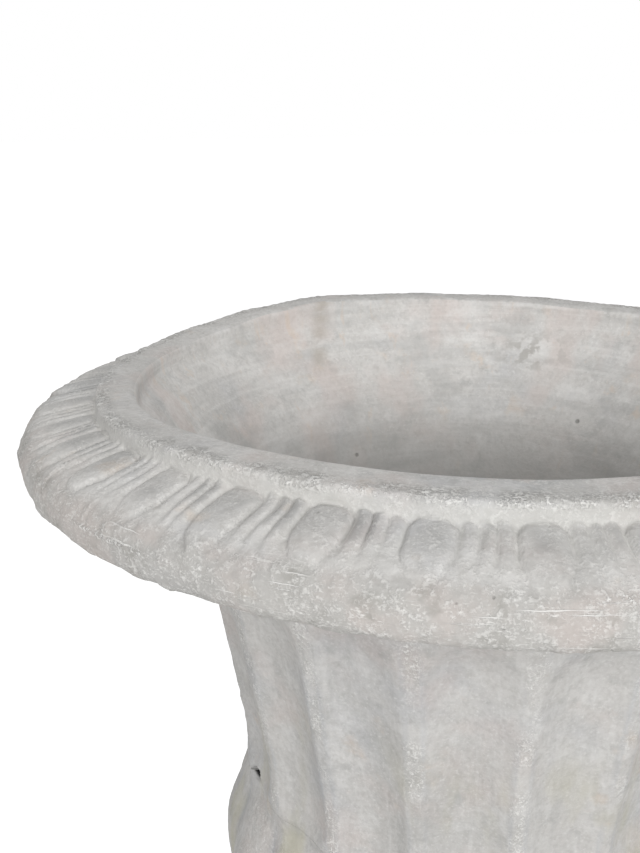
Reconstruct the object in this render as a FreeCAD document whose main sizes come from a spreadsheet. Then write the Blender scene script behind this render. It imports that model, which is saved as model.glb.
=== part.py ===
"""Campana planter in cast stone: egg-and-dart rim, fluted bell and gadrooned bowl on a socle and plinth.

Millimetres and degrees. The origin is on the floor, on the axis, and +Z is up.
"""
import FreeCAD, Part
import math
import os
import re

import Sketcher
from FreeCAD import Placement, Rotation, Vector

# Driving sizes: word for the sheet, value, meaning
SIZES = [
    ("overall_height", 490, "floor to the top of the lip"),
    ("lip_radius", 175, "inner edge of the lip"),
    ("lip_width", 19.5, "flat top of the lip"),
    ("lip_bevel", 3.5, "soft edge inside the mouth"),
    ("lip_wall", 12, "short upright stretch under the inner edge"),
    ("rim_radius", 226, "widest line of the fascia"),
    ("rim_drop", 38.4, "lip down to the lower edge of the fascia"),
    ("rim_under", 6.2, "lower edge of the fascia in from its widest line"),
    ("band_riser", 9.5, "lip down to the top of the egg band"),
    ("band_step", 1, "riser's lean"),
    ("band_width", 24, "egg band measured outwards"),
    ("band_fall", 6, "egg band measured downwards"),
    ("egg_count", 36, "eggs round the rim"),
    ("egg_width", 17.5, "egg across the band"),
    ("egg_relief", 3.4, "egg above the band"),
    ("reed_length", 24, "reed along the band"),
    ("reed_set", 2, "upper end of a reed behind the riser"),
    ("reed_width", 5, "reed across the band, at its upper end"),
    ("reed_taper", 0.5, "lower end of a reed to its upper end"),
    ("reed_pitch", 1.65, "angle from reed to reed"),
    ("neck_drop", 63, "lip down to the joint of rim and bell"),
    ("neck_radius", 150, "bell at that joint"),
    ("wall", 20, "thickness of the castings"),
    ("spigot_width", 9, "rib on top of the bell, inside the rim's rebate"),
    ("spigot_height", 6, "rib above the joint"),
    ("rebate_depth", 8, "rebate above the joint"),
    ("rebate_room", 1, "clear space beside the rib"),
    ("waist_drop", 217, "lip down to the joint of bell and bowl"),
    ("waist_radius", 123, "bell at that joint"),
    ("bell_sweep", 1600, "radius of the bell's hollow outline"),
    ("flute_count", 18, "flutes round the bell, and lobes round the bowl"),
    ("flute_turn", 4.3, "flutes turned from the eggs"),
    ("flute_depth", 6, "hollow of a flute"),
    ("flute_margin", 15, "joint of rim and bell down to a flute's arch"),
    ("flute_arch", 20, "height of a flute's arch"),
    ("bowl_drop", 372, "lip down to the seat of the bowl"),
    ("bulge_drop", 278, "lip down to the widest line of the bowl"),
    ("bulge_sweep", 96, "radius of the bowl's round outline"),
    ("bulge_centre", 43.5, "centre of that outline from the axis"),
    ("lobe_relief", 7, "groove between two lobes"),
    ("floor_thickness", 32, "floor of the bowl"),
    ("floor_round", 40, "hollow corner between floor and wall"),
    ("bed", 2, "mortar bed"),
    ("void_length", 14, "open stretch of the waist bed"),
    ("void_turn", -161, "where it lies"),
    ("dowel_count", 4, "pins in a joint"),
    ("dowel_radius", 4, "pin"),
    ("dowel_length", 40, "pin"),
    ("dowel_room", 0.25, "clear space round a pin"),
    ("seat_thickness", 3, "soft ring under the bowl"),
    ("seat_radius", 50, "soft ring under the bowl"),
    ("drain_radius", 12.5, "bore of the sleeve"),
    ("sleeve_wall", 3.5, "sleeve"),
    ("sleeve_room", 1, "clear space round the sleeve in the bowl"),
    ("sleeve_set", 4, "sleeve's ends behind the floor and the underside"),
    ("socle_neck", 44, "thinnest part of the stem"),
    ("astragal_height", 12, "round moulding at the top of the stem"),
    ("fillet_height", 5, "flat mouldings of the stem"),
    ("torus_radius", 96, "round foot"),
    ("torus_height", 18, "round foot"),
    ("plinth_side", 206, "square slab"),
    ("plinth_height", 40, "square slab"),
    ("plinth_bevel", 3, "upper edges of the slab"),
    ("pad_radius", 18, "pad under the slab"),
    ("pad_height", 6, "pad under the slab"),
    ("pad_recess", 2, "pad let into the slab"),
    ("pad_place", 76, "pad from the axis, along each side"),
]

# Heights that several pieces share, as formulas of the sizes
LIP = "overall_height"
NECK = "overall_height - neck_drop"
WAIST = "overall_height - waist_drop"
SEAT = "overall_height - bowl_drop"
SLAB_BOTTOM = "pad_height - pad_recess"
SLAB_TOP = f"{SLAB_BOTTOM} + plinth_height"
SOCLE_BOTTOM = f"{SLAB_TOP} + bed"
SOCLE_TOP = f"{SEAT} - seat_thickness"
FLOOR = f"{SEAT} + floor_thickness"
INNER_WAIST = "waist_radius - wall"
BED_EDGE = "waist_radius - 3 * bed"
SPIGOT = "neck_radius - wall + spigot_width"
REBATE = f"{SPIGOT} + rebate_room"

# Shares that shape the round forms
LIP_ROUND_SHARE = 1.5
FASCIA_ROUND_SHARE = 2.18
FLUTE_ROUND_SHARE = 0.33
LOBE_RINGS = 10
LOBE_TOP_SHARE = 0.4
ARCH_SHARES = (-0.2, 0.35, 0.7, 1.0)
ROUND_SHARE = 0.52
PIN_SHARE = 0.62
HOLLOW_SHARE = 1.1
SAME = 0.001

doc = FreeCAD.newDocument("Planter")
sheet = doc.addObject("Spreadsheet::Sheet", "Sizes")
for row, (alias, value, meaning) in enumerate(SIZES, start=1):
    sheet.set(f"A{row}", meaning)
    sheet.set(f"B{row}", str(value))
    sheet.setAlias(f"B{row}", alias)
doc.recompute()
WORDS = {alias for alias, value, meaning in SIZES}


def in_sheet(formula):
    """The formula with each size named as a cell of the sheet."""
    return re.sub(r"[a-z_]+", lambda word: f"Sizes.{word[0]}" if word[0] in WORDS else word[0], formula)


def number(formula):
    """What the formula comes to."""
    return float(sheet.evalExpression(in_sheet(formula)))


def bind(thing, **formulas):
    """Ties properties to formulas; a double underscore in a name stands for a dot."""
    for name, formula in formulas.items():
        thing.setExpression(name.replace("__", "."), in_sheet(formula))


def polar(radius, angle, height=0):
    turn = math.radians(angle)
    return Vector(radius * math.cos(turn), radius * math.sin(turn), height)


# Sketches and features

def new_body(name):
    body = doc.addObject("PartDesign::Body", name)
    body.Label = name
    return body


def origin_part(body, role):
    return next(part for part in body.Origin.OriginFeatures if part.Role == role)


def flat_sketch(body, name, height):
    """An empty level sketch at a height given as a formula."""
    sketch = body.newObject("Sketcher::SketchObject", name)
    sketch.AttachmentSupport = [(origin_part(body, "XY_Plane"), "")]
    sketch.MapMode = "FlatFace"
    bind(sketch, AttachmentOffset__Base__z=height)
    return sketch


def add_circle(sketch, radius, along="0", across="0"):
    """A circle whose radius and centre are formulas."""
    centre = Vector(number(along), number(across), 0)
    circle = sketch.addGeometry(Part.Circle(centre, Vector(0, 0, 1), number(radius)))
    place = [("Radius", (circle,), radius), ("DistanceX", (-1, 1, circle, 3), along),
             ("DistanceY", (-1, 1, circle, 3), across)]
    for kind, ends, formula in place:
        index = sketch.addConstraint(Sketcher.Constraint(kind, *ends, number(formula)))
        sketch.setExpression(f"Constraints[{index}]", in_sheet(formula))


def arc_between(start, end, radius):
    """The short arc; a positive radius bulges to the right of the way from start to end."""
    chord = end - start
    side = Vector(chord.y, -chord.x, 0).normalize()
    half = chord.Length / 2
    reach = abs(radius)
    rise = reach - math.sqrt(max(reach * reach - half * half, 0))
    middle = (start + end) / 2 + side * math.copysign(rise, radius)
    return Part.Arc(start, middle, end)


def outline(body, name, corners):
    """A closed upright outline. A corner is a radius and a height, and a third formula makes the stretch
    that leads to it an arc of that radius: plus bulges to the right of the way, minus to the left."""
    sketch = body.newObject("Sketcher::SketchObject", name)
    sketch.AttachmentSupport = [(origin_part(body, "XZ_Plane"), "")]
    sketch.MapMode = "FlatFace"
    points = [Vector(number(corner[0]), number(corner[1]), 0) for corner in corners]
    ends = []
    for index, corner in enumerate(corners):
        start = points[index - 1]
        end = points[index]
        if len(corner) == 2:
            ends.append((sketch.addGeometry(Part.LineSegment(start, end)), 1, 2))
            continue
        stretch = sketch.addGeometry(arc_between(start, end, number(corner[2])))
        forward = sketch.getPoint(stretch, 1).isEqual(start, SAME)
        ends.append((stretch, 1, 2) if forward else (stretch, 2, 1))
        held = sketch.addConstraint(Sketcher.Constraint("Radius", stretch, abs(number(corner[2]))))
        sketch.setExpression(f"Constraints[{held}]", in_sheet(f"abs({corner[2]})"))
    for index, (stretch, first, last) in enumerate(ends):
        following, its_first, its_last = ends[(index + 1) % len(ends)]
        sketch.addConstraint(Sketcher.Constraint("Coincident", stretch, last, following, its_first))
        for kind, formula in (("DistanceX", corners[index][0]), ("DistanceY", corners[index][1])):
            held = sketch.addConstraint(Sketcher.Constraint(kind, -1, 1, stretch, last, number(formula)))
            sketch.setExpression(f"Constraints[{held}]", in_sheet(formula))
    return sketch


def turned(body, name, corners, kind="Revolution"):
    """An outline turned round the axis, as material or, with the kind Groove, as a hollow."""
    sketch = outline(body, f"{name}_outline", corners)
    feature = body.newObject(f"PartDesign::{kind}", name)
    feature.Profile = (sketch, [""])
    feature.ReferenceAxis = (sketch, ["V_Axis"])
    feature.Angle = 360
    return feature


def repeat(body, name, features, count):
    """The features repeated evenly round the axis."""
    pattern = body.newObject("PartDesign::PolarPattern", name)
    pattern.Originals = features
    pattern.Axis = (origin_part(body, "Z_Axis"), [""])
    pattern.Angle = 360
    bind(pattern, Occurrences=count)
    body.Tip = pattern
    return pattern


def loft(body, name, sketches, kind):
    feature = body.newObject(f"PartDesign::{kind}", name)
    feature.Profile = (sketches[0], [""])
    feature.Sections = [(sketch, [""]) for sketch in sketches[1:]]
    feature.Ruled = False
    return feature


def drill(body, name, height, radius, depth, upwards, along="0", across="0"):
    """A round hole from a level face into the piece."""
    sketch = flat_sketch(body, f"{name}_outline", height)
    add_circle(sketch, radius, along, across)
    hole = body.newObject("PartDesign::Pocket", name)
    hole.Profile = (sketch, [""])
    hole.Reversed = upwards
    bind(hole, Length=depth)
    return hole


def slab_ring(name, bottom, height, outer, inner):
    """A flat ring."""
    body = new_body(name)
    sketch = flat_sketch(body, f"{name}_outline", bottom)
    add_circle(sketch, outer)
    add_circle(sketch, inner)
    pad = body.newObject("PartDesign::Pad", f"{name}_ring")
    pad.Profile = (sketch, [""])
    bind(pad, Length=height)
    return body


# Pins across the waist joint, on the ridges between the flutes

PIN_CIRCLE = f"(waist_radius - {PIN_SHARE} * wall)"
PIN_TURN = "(flute_turn + 180 / flute_count)"


def drill_pins(body, name, height, upwards):
    """Holes for the pins, from a face of the joint."""
    hole = drill(body, name, height, "dowel_radius + dowel_room", "dowel_length / 2", upwards,
                 f"{PIN_CIRCLE} * cos({PIN_TURN})", f"{PIN_CIRCLE} * sin({PIN_TURN})")
    repeat(body, f"{name}_round", [hole], "dowel_count")


def make_dowels():
    """The pins, half in each casting."""
    pins = []
    for index in range(int(number("dowel_count"))):
        turn = f"({PIN_TURN} + {index} * 360 / dowel_count)"
        pin = doc.addObject("Part::Cylinder", f"dowel_{index}")
        bind(pin, Radius="dowel_radius", Height="dowel_length",
             Placement__Base__x=f"{PIN_CIRCLE} * cos({turn})",
             Placement__Base__y=f"{PIN_CIRCLE} * sin({turn})",
             Placement__Base__z=f"{WAIST} - bed / 2 - dowel_length / 2")
        pins.append(pin)
    return group("waist_dowels", pins)


def group(name, parts):
    """Separate solids in one node."""
    compound = doc.addObject("Part::Compound", name)
    compound.Label = name
    compound.Links = parts
    return compound


# Rim

def make_rim_sector():
    """One egg's share of the rim, cut between an egg and the reeds beside it, from the X axis on."""
    body = new_body("rim_sector")
    band_top = ("lip_radius + lip_width + band_step", f"{LIP} - band_riser")
    band_foot = (f"{band_top[0]} + band_width", f"{band_top[1]} - band_fall")
    inner_lip = "lip_radius - lip_bevel"
    share = turned(body, "rim_share", [
        ("lip_radius", LIP),
        (inner_lip, f"{LIP} - lip_bevel", f"-{LIP_ROUND_SHARE} * lip_bevel"),
        (inner_lip, f"{LIP} - lip_wall"),
        (REBATE, f"{NECK} + rebate_depth"),
        (REBATE, NECK),
        ("neck_radius", NECK),
        ("neck_radius + wall / 2", f"{NECK} + wall / 2", "-wall / 2"),
        ("rim_radius - rim_under", f"{LIP} - rim_drop"),
        (band_foot[0], band_foot[1], f"{FASCIA_ROUND_SHARE} * rim_under"),
        band_top,
        ("lip_radius + lip_width", LIP),
    ])
    bind(share, Angle="360 / egg_count")
    lean = 90 + math.degrees(math.atan2(number("band_fall"), number("band_width")))
    middle = number(f"{band_top[0]} + band_width / 2")
    height = number(f"{band_top[1]} - band_fall / 2")
    pitch = number("360 / egg_count")

    def on_band(angle, sink=0, back=0):
        """A place on the middle of the band with Z down the slope, sunk in it or set back up it."""
        turn = Rotation(Vector(0, 0, 1), angle) * Rotation(Vector(0, 1, 0), lean)
        return Placement(polar(middle, angle, height), turn) * Placement(Vector(sink, 0, -back), Rotation())

    egg_edge = math.degrees(number("egg_width / 2") / middle)
    reed_start = math.hypot(number("band_width"), number("band_fall")) / 2 + number("reed_set")
    reed_edge = pitch / 2 - number("reed_pitch") - math.degrees(number("reed_width / 2") / middle)
    egg_turn = pitch - (egg_edge + reed_edge) / 2
    ball = "((egg_width / 2) ^ 2 + egg_relief ^ 2) / (2 * egg_relief)"
    egg = body.newObject("PartDesign::AdditiveSphere", "egg")
    bind(egg, Radius=ball)
    egg.Placement = on_band(egg_turn, sink=number(f"{ball} - egg_relief"))
    for place in (-1, 0, 1):
        reed = body.newObject("PartDesign::AdditiveCone", f"reed_{place + 1}")
        bind(reed, Radius1="reed_width / 2", Radius2="reed_width / 2 * reed_taper", Height="reed_length")
        angle = egg_turn - pitch / 2 + place * number("reed_pitch")
        reed.Placement = on_band(angle, back=reed_start)
    doc.recompute()
    return body, egg_turn


def make_rim():
    """The rim: one egg with its three reeds, repeated round the axis and joined into one skin."""
    sector, egg_turn = make_rim_sector()
    pitch = number("360 / egg_count")
    sides = [polar(1, 90), polar(1, 90 + pitch)]

    def is_side(face):
        """True for the two upright faces where neighbouring sectors meet."""
        if not isinstance(face.Surface, Part.Plane):
            return False
        normal = face.normalAt(0, 0)
        for side in sides:
            if abs(normal.dot(side)) > 1 - SAME and abs(face.CenterOfMass.dot(side)) < SAME:
                return True
        return False

    skin = Part.makeShell([face for face in sector.Shape.Faces if not is_side(face)])
    faces = []
    for index in range(int(number("egg_count"))):
        copy = skin.copy()
        copy.rotate(Vector(0, 0, 0), Vector(0, 0, 1), index * pitch - egg_turn)
        faces += copy.Faces
    shell = Part.makeShell(faces)
    shell.sewShape()
    ring = doc.addObject("Part::Feature", "rim")
    ring.Label = "rim"
    ring.Shape = Part.makeSolid(shell).removeSplitter()
    return ring


# Bell

def bell_radius(height):
    """The bell's hollow outline: an arc between its two joints."""
    top = Vector(number("neck_radius"), number(f"{NECK} - bed"), 0)
    foot = Vector(number("waist_radius"), number(WAIST), 0)
    arc = arc_between(foot, top, -number("bell_sweep")).toShape().Curve
    return arc.Center.x - math.sqrt(arc.Radius ** 2 - (height - arc.Center.y) ** 2)


def make_bell():
    body = new_body("bell")
    top = f"{NECK} - bed"
    rib_top = f"{NECK} + spigot_height"
    funnel = f"(neck_drop - rebate_depth - lip_wall) / (lip_radius - lip_bevel - ({REBATE}))"
    turned(body, "bell_wall", [
        ("neck_radius", top, "-bell_sweep"),
        (SPIGOT, top),
        (SPIGOT, rib_top),
        ("neck_radius - wall", f"{rib_top} - spigot_width * {funnel}"),
        (INNER_WAIST, WAIST, "bell_sweep + wall"),
        ("waist_radius", WAIST),
    ])
    flute_top = number(f"{top} - flute_margin")
    flute_foot = number(f"{WAIST} + bed")
    arch = number("flute_arch")
    turn = number("flute_turn")

    def flute_ring(index, height, depth_share):
        """One round section of the cutter that hollows a flute."""
        radius = bell_radius(height)
        cutter = radius * FLUTE_ROUND_SHARE
        place = radius + cutter - depth_share * number("flute_depth")
        sketch = flat_sketch(body, f"flute_ring_{index}", str(height))
        sketch.addGeometry(Part.Circle(polar(place, turn), Vector(0, 0, 1), cutter))
        return sketch

    def depth_at(share):
        """Hollow of the flute, as a share, where the arch is a half circle seen from the front."""
        return 2 * share - share * share

    levels = [(flute_top - share * arch, depth_at(share)) for share in ARCH_SHARES]
    levels += [(flute_foot + share * arch, depth_at(share)) for share in reversed(ARCH_SHARES)]
    rings = [flute_ring(index, height, share) for index, (height, share) in enumerate(levels)]
    doc.recompute()
    flute = loft(body, "flute", rings, "SubtractiveLoft")
    repeat(body, "flutes", [flute], "flute_count")
    drill_pins(body, "foot_pin_hole", WAIST, True)
    return body


# Gadrooned bowl

def make_bowl():
    body = new_body("gadrooned_bowl")
    count = int(number("flute_count"))
    pitch = 360 / count
    middle = number("overall_height - bulge_drop")
    sweep = number("bulge_sweep")
    top_angle = math.asin((number(f"{WAIST} - bed") - middle) / sweep)
    foot_angle = math.asin((number(SEAT) - middle) / sweep)

    def lobed_ring(index):
        """One level section: an arc for each lobe, with the grooves shallower at the waist."""
        share = index / (LOBE_RINGS - 1)
        angle = top_angle + (foot_angle - top_angle) * share
        crest = number("bulge_centre") + sweep * math.cos(angle)
        relief = number("lobe_relief") * min(1, LOBE_TOP_SHARE + share)
        groove = crest - relief * crest / number("waist_radius")
        sketch = flat_sketch(body, f"lobe_ring_{index}", str(middle + sweep * math.sin(angle)))
        for lobe in range(count):
            start = number("flute_turn") + lobe * pitch - pitch / 2
            points = [polar(groove, start), polar(crest, start + pitch / 2), polar(groove, start + pitch)]
            sketch.addGeometry(Part.Arc(*points))
        return sketch

    rings = [lobed_ring(index) for index in range(LOBE_RINGS)]
    doc.recompute()
    loft(body, "lobes", rings, "AdditiveLoft")
    drain = "drain_radius + sleeve_wall + sleeve_room"
    turned(body, "inside", [
        (drain, SEAT),
        (drain, FLOOR),
        (f"{INNER_WAIST} - floor_round", FLOOR),
        (INNER_WAIST, f"{FLOOR} + floor_round", "floor_round"),
        (INNER_WAIST, WAIST),
        ("0", WAIST),
        ("0", SEAT),
    ], "Groove")
    drill_pins(body, "bowl_pin_hole", f"{WAIST} - bed", False)
    return body


# Bedding and pins

def make_bedding():
    rim_bed = slab_ring("rim_bedding", f"{NECK} - bed", "bed", "neck_radius", SPIGOT)
    waist_bed = slab_ring("waist_bedding", f"{WAIST} - bed", "bed", BED_EDGE, INNER_WAIST)
    drill_pins(waist_bed, "waist_bed_pin_hole", WAIST, False)
    drill(waist_bed, "open_stretch", WAIST, "void_length / 2", "2 * bed", False,
          f"({BED_EDGE}) * cos(void_turn)", f"({BED_EDGE}) * sin(void_turn)")
    foot_bed = slab_ring("foot_bedding", SLAB_TOP, "bed", "torus_radius - torus_height / 2",
                         "drain_radius + sleeve_wall")
    return [rim_bed, waist_bed, foot_bed]


# Pedestal

def make_socle():
    body = new_body("socle")
    core = "drain_radius + sleeve_wall"
    under_astragal = f"{SOCLE_TOP} - astragal_height"
    torus_top = f"{SOCLE_BOTTOM} + torus_height"
    torus_flat = "torus_radius - torus_height / 2"
    stem_top = f"{under_astragal} - fillet_height"
    stem_foot = f"{torus_top} + fillet_height"
    turned(body, "stem", [
        (core, SOCLE_BOTTOM),
        (torus_flat, SOCLE_BOTTOM),
        (torus_flat, torus_top, f"{ROUND_SHARE} * torus_height"),
        (torus_flat, stem_foot),
        ("socle_neck", stem_top, f"-{HOLLOW_SHARE} * ({stem_top} - ({stem_foot}))"),
        ("seat_radius + fillet_height / 2", stem_top),
        ("seat_radius + fillet_height / 2", under_astragal),
        ("seat_radius + fillet_height / 2", SOCLE_TOP, f"{ROUND_SHARE} * astragal_height"),
        (core, SOCLE_TOP),
    ])
    return body


def make_plinth():
    body = new_body("plinth")
    sketch = flat_sketch(body, "slab_outline", SLAB_BOTTOM)
    half = number("plinth_side / 2")
    corners = [Vector(x * half, y * half, 0) for x, y in ((-1, -1), (1, -1), (1, 1), (-1, 1))]
    for index, corner in enumerate(corners):
        sketch.addGeometry(Part.LineSegment(corners[index - 1], corner))
    for index in range(len(corners)):
        following = (index + 1) % len(corners)
        sketch.addConstraint(Sketcher.Constraint("Coincident", index, 2, following, 1))
        for kind, value in (("DistanceX", corners[index].x), ("DistanceY", corners[index].y)):
            held = sketch.addConstraint(Sketcher.Constraint(kind, -1, 1, index, 2, value))
            sign = "" if value > 0 else "-"
            sketch.setExpression(f"Constraints[{held}]", in_sheet(f"{sign}plinth_side / 2"))
    slab = body.newObject("PartDesign::Pad", "slab")
    slab.Profile = (sketch, [""])
    bind(slab, Length="plinth_height")
    doc.recompute()
    top_face = max(range(len(slab.Shape.Faces)), key=lambda index: slab.Shape.Faces[index].CenterOfMass.z)
    bevel = body.newObject("PartDesign::Chamfer", "slab_bevel")
    bevel.Base = (slab, [f"Face{top_face + 1}"])
    bind(bevel, Size="plinth_bevel")
    drill(body, "core", SLAB_BOTTOM, "drain_radius + sleeve_wall", "plinth_height", True)
    recess = drill(body, "pad_recess_hole", SLAB_BOTTOM, "pad_radius", "pad_recess", True,
                   "pad_place", "pad_place")
    repeat(body, "pad_recesses", [recess], "4")
    return body


def make_pads():
    discs = []
    for index, (along, across) in enumerate((("", ""), ("-", ""), ("-", "-"), ("", "-"))):
        disc = doc.addObject("Part::Cylinder", f"pad_{index}")
        bind(disc, Radius="pad_radius", Height="pad_height",
             Placement__Base__x=f"{along}pad_place", Placement__Base__y=f"{across}pad_place")
        discs.append(disc)
    return group("foot_pads", discs)


def make_sleeve():
    bottom = f"{SLAB_BOTTOM} + sleeve_set"
    return slab_ring("drain_sleeve", bottom, f"{FLOOR} - sleeve_set - ({bottom})",
                     "drain_radius + sleeve_wall", "drain_radius")


def make_seat():
    return slab_ring("seat_ring", SOCLE_TOP, "seat_thickness", "seat_radius",
                     "drain_radius + sleeve_wall + sleeve_room")


pieces = [make_rim(), make_bell(), make_bowl(), *make_bedding(), make_dowels(), make_socle(), make_plinth(),
          make_pads(), make_sleeve(), make_seat()]
doc.recompute()

# Nothing is written unless every object came out whole and every cut took something away
CUTS = ("PartDesign::Pocket", "PartDesign::Groove", "PartDesign::SubtractiveLoft")
for thing in doc.Objects:
    if "Invalid" in thing.State or "Error" in thing.State:
        raise RuntimeError(f"{thing.Label} failed: {thing.State}")
    if thing.TypeId in CUTS and thing.Shape.Volume >= thing.BaseFeature.Shape.Volume:
        raise RuntimeError(f"{thing.Label} cut nothing")
for piece in pieces:
    if piece.Shape.isNull() or not piece.Shape.isValid():
        raise RuntimeError(f"{piece.Label} has no sound shape")

os.makedirs("parts", exist_ok=True)
for piece in pieces:
    piece.Shape.exportStep(f"parts/{piece.Label}.step")
    print(piece.Label, len(piece.Shape.Solids), round(piece.Shape.Volume))
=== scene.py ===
import math

import bmesh
import bpy
from mathutils import Matrix, Vector, noise


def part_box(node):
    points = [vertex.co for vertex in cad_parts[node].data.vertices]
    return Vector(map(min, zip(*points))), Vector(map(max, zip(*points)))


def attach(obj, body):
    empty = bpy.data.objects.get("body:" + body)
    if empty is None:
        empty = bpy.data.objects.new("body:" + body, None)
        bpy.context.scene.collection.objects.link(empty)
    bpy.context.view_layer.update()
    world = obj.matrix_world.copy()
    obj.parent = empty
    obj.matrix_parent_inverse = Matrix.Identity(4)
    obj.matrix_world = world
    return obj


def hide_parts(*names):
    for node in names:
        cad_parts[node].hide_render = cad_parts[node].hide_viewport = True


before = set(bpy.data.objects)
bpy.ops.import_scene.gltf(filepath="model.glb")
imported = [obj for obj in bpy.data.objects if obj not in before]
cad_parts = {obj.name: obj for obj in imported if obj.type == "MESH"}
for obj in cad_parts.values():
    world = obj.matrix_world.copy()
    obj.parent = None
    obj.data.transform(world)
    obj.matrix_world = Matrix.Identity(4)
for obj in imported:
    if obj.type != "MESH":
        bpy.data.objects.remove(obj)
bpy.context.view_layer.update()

# Lengths are written in millimetres and turned into metres where they meet Blender
MM = 0.001


def levels(node):
    """Bottom and top of a CAD node, in millimetres."""
    low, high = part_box(node)
    return round(low.z / MM, 1), round(high.z / MM, 1)


# Heights of the castings, from the frame
SOCLE_FOOT, SOCLE_TOP = levels("socle")
BOWL_SEAT, BOWL_TOP = levels("gadrooned_bowl")
BELL_FOOT = levels("bell")[0]
BELL_TOP = levels("rim_bedding")[0]
RIM_SEAT, LIP_TOP = levels("rim")
WAIST_LEVEL = (BOWL_TOP + BELL_FOOT) / 2

# Radii that several castings share
NECK = 150.0
WAIST = 123.0
WAIST_INSIDE = 103
WALL = 20
CORE = 16

# Ornament round the axis
EGGS = 36
EGG_PITCH = 2 * math.pi / EGGS
FLUTES = 18
FLUTE_PITCH = 2 * math.pi / FLUTES
FLUTE_TURN = math.radians(4.3)

# Vector noise starts from the clock unless a seed is set
HAND_SEED = 37
noise.seed_set(HAND_SEED)

# Edges that bend more than this are shown sharp
CRISP_ANGLE = math.radians(55)
# Corners closer than this are joined
WELD = 0.01
# Two ends of an edge count as level below this difference in metres
LEVEL_WITHIN = 1e-7


# Small sums

def shade(red, green, blue):
    """A colour given as it is seen, 0 to 255, in the shader's linear values."""
    def linear(value):
        value /= 255
        return value / 12.92 if value <= 0.04045 else ((value + 0.055) / 1.055) ** 2.4
    return linear(red), linear(green), linear(blue), 1.0


def ease(value, low, high):
    """0 below low, 1 above high and smooth between."""
    share = min(max((value - low) / (high - low), 0.0), 1.0)
    return share * share * (3 - 2 * share)


def bump_at(value, centre, half_width):
    """1 at the centre, falling smoothly to 0 at the half width."""
    return 1 - ease(abs(value - centre), 0, half_width)


def by_angle(table, degrees):
    """A value that a table gives by degrees round the axis, smooth between its entries."""
    for (start, low), (end, high) in zip(table, table[1:]):
        if start <= degrees <= end:
            return low + (high - low) * ease(degrees, start, end)
    return 0.0


def grit(place, size, seed=0.0):
    """Smooth noise from about -1 to 1 with lumps of the given size in millimetres."""
    return noise.noise(place / (size * MM) + Vector((seed, seed * 1.7, -seed)))


def chance(index, seed):
    """A settled number from -1 to 1 for the nth egg, flute or lobe."""
    return noise.cell(Vector((index * 3.1 + 0.5, seed * 7.3 + 0.5, 0.5))) * 2 - 1


class Spot:
    """A corner of a turned mesh before it is moved, with its radius, height and angle round the axis."""

    def __init__(self, vert):
        self.place = vert.co.copy()
        self.radius = self.place.xy.length / MM
        self.height = self.place.z / MM
        self.angle = math.atan2(self.place.y, self.place.x)
        self.degrees = math.degrees(self.angle)
        self.out = Vector((self.place.x, self.place.y, 0)).normalized()

    def at_radius(self, radius):
        """The place at the same height and angle but another radius."""
        return self.out * radius * MM + Vector((0, 0, self.place.z))


# Turned castings

def section_wire(bm, corners, spacing):
    """Draws the section as a closed wire. A corner is a radius, a height and, where it is soft, how much of
    it is rounded off. Long stretches are divided to the spacing."""
    points = [bm.verts.new((corner[0] * MM, 0, corner[1] * MM)) for corner in corners]
    for index, point in enumerate(points):
        bm.edges.new((points[index - 1], point))
    for point, corner in zip(points, corners):
        if len(corner) == 3:
            bmesh.ops.bevel(bm, geom=[point], offset=corner[2] * MM, segments=4, profile=0.5,
                            affect="VERTICES", material=-1)
    for edge in list(bm.edges):
        middle = (edge.verts[0].co + edge.verts[1].co) / 2
        cuts = round(edge.calc_length() / MM / spacing(middle.x / MM, middle.z / MM)) - 1
        if cuts > 0:
            bmesh.ops.subdivide_edges(bm, edges=[edge], cuts=cuts)


def turn_round(bm, columns):
    """Spins the wire into a closed ring."""
    bmesh.ops.spin(bm, geom=bm.verts[:] + bm.edges[:], cent=(0, 0, 0), axis=(0, 0, 1), angle=2 * math.pi,
                   steps=columns, use_merge=True)
    bmesh.ops.remove_doubles(bm, verts=bm.verts[:], dist=WELD * MM)
    bmesh.ops.recalc_face_normals(bm, faces=bm.faces[:])


def divide_level(bm, cuts, where):
    """Divides the level edges of a zone, so that fine ornament has enough columns there."""
    level = []
    for edge in bm.edges:
        one, other = edge.verts[0].co, edge.verts[1].co
        if abs(one.z - other.z) > LEVEL_WITHIN or abs(one.xy.length - other.xy.length) > LEVEL_WITHIN:
            continue
        if where(one.xy.length / MM, one.z / MM):
            level.append(edge)
    bmesh.ops.subdivide_edges(bm, edges=level, cuts=cuts, use_grid_fill=True)


def hand_shift(place):
    """The slow unevenness of hand-made moulds, shared by the castings of the bowl so that joints stay shut.
    It starts above the seat, so that the bowl still stands level."""
    amount = ease(place.z, (BOWL_SEAT + 12) * MM, (BOWL_SEAT + 102) * MM)
    slow = noise.noise_vector(place / (170 * MM)) * 1.3 * MM
    quick = noise.noise_vector(place / (60 * MM) + Vector((9, 2, 5))) * 0.45 * MM
    return (slow + quick) * amount


def paint_layers(bm, *names):
    """Values painted on the corners of a mesh, which the finishes read by name."""
    return {name: bm.verts.layers.float.new(name) for name in names}


def with_normals(bm):
    """The corners of a mesh with the normals that they have before any of them moves."""
    bm.normal_update()
    normals = [vert.normal.copy() for vert in bm.verts]
    return zip(bm.verts, normals)


def give_inside(bm, is_inside):
    """Gives the faces inside the planter the second finish."""
    for face in bm.faces:
        centre = face.calc_center_median()
        face.material_index = 1 if is_inside(centre.xy.length / MM, centre.z / MM) else 0


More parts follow.
